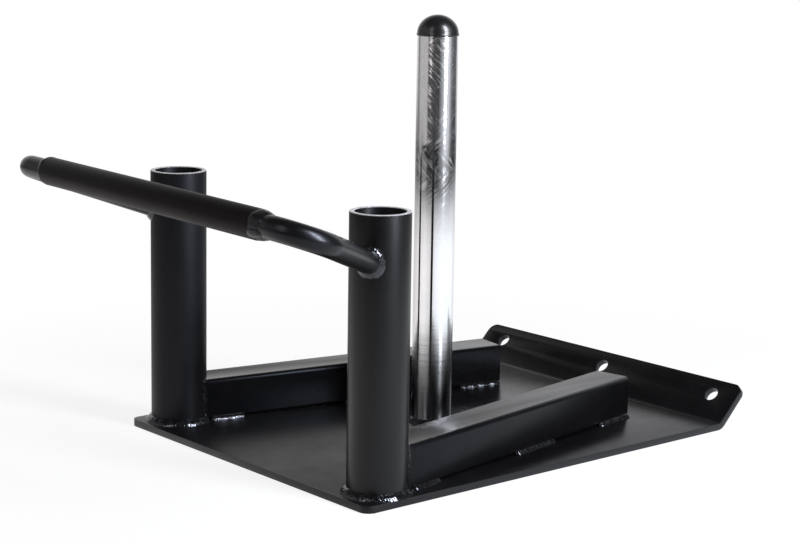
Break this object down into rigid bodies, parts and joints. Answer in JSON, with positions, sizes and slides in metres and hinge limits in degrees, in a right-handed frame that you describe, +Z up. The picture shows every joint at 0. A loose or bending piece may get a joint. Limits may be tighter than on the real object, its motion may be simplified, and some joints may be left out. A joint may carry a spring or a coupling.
{
  "type": "weight training sled",
  "caption": "Steel push and pull sled: bent skid plate with strap holes, upright pole sockets, box rails, weight post with domed cap, and a bent bar handle with a grip.",
  "frame": {"origin": "on the floor under the middle of the whole sled's box", "axes": "+X to the sled's right, +Y forward to the raised lip, +Z up"},
  "size_m": [0.5479, 0.7408, 0.4973],
  "materials": {
    "coating": "satin black powder coat",
    "plate_coating": "satin black powder coat, lightly scuffed",
    "weld": "black powder coat over weld ripples",
    "polished_steel": "polished steel with fine swirl marks",
    "cap_plastic": "semi-gloss black moulding"
  },
  "bodies": {
    "root": {"grip_sleeve": "coating", "left_grip_weld": "weld", "left_handle_weld": "weld", "left_rail": "coating", "left_rail_end_plate": "coating", "left_rail_inner_front_stitch": "weld", "left_rail_inner_middle_stitch": "weld", "left_rail_inner_rear_stitch": "weld", "left_rail_inner_socket_weld": "weld", "left_rail_outer_front_stitch": "weld", "left_rail_outer_middle_stitch": "weld", "left_rail_outer_rear_stitch": "weld", "left_rail_outer_socket_weld": "weld", "left_socket": "coating", "left_socket_base_weld": "weld", "post_base_weld": "weld", "post_cap": "cap_plastic", "push_handle": "coating", "right_grip_weld": "weld", "right_handle_weld": "weld", "right_rail": "coating", "right_rail_end_plate": "coating", "right_rail_inner_front_stitch": "weld", "right_rail_inner_middle_stitch": "weld", "right_rail_inner_rear_stitch": "weld", "right_rail_inner_socket_weld": "weld", "right_rail_outer_front_stitch": "weld", "right_rail_outer_middle_stitch": "weld", "right_rail_outer_rear_stitch": "weld", "right_rail_outer_socket_weld": "weld", "right_socket": "coating", "right_socket_base_weld": "weld", "skid_plate": "plate_coating", "weight_post": "polished_steel"}
  },
  "joints": []
}
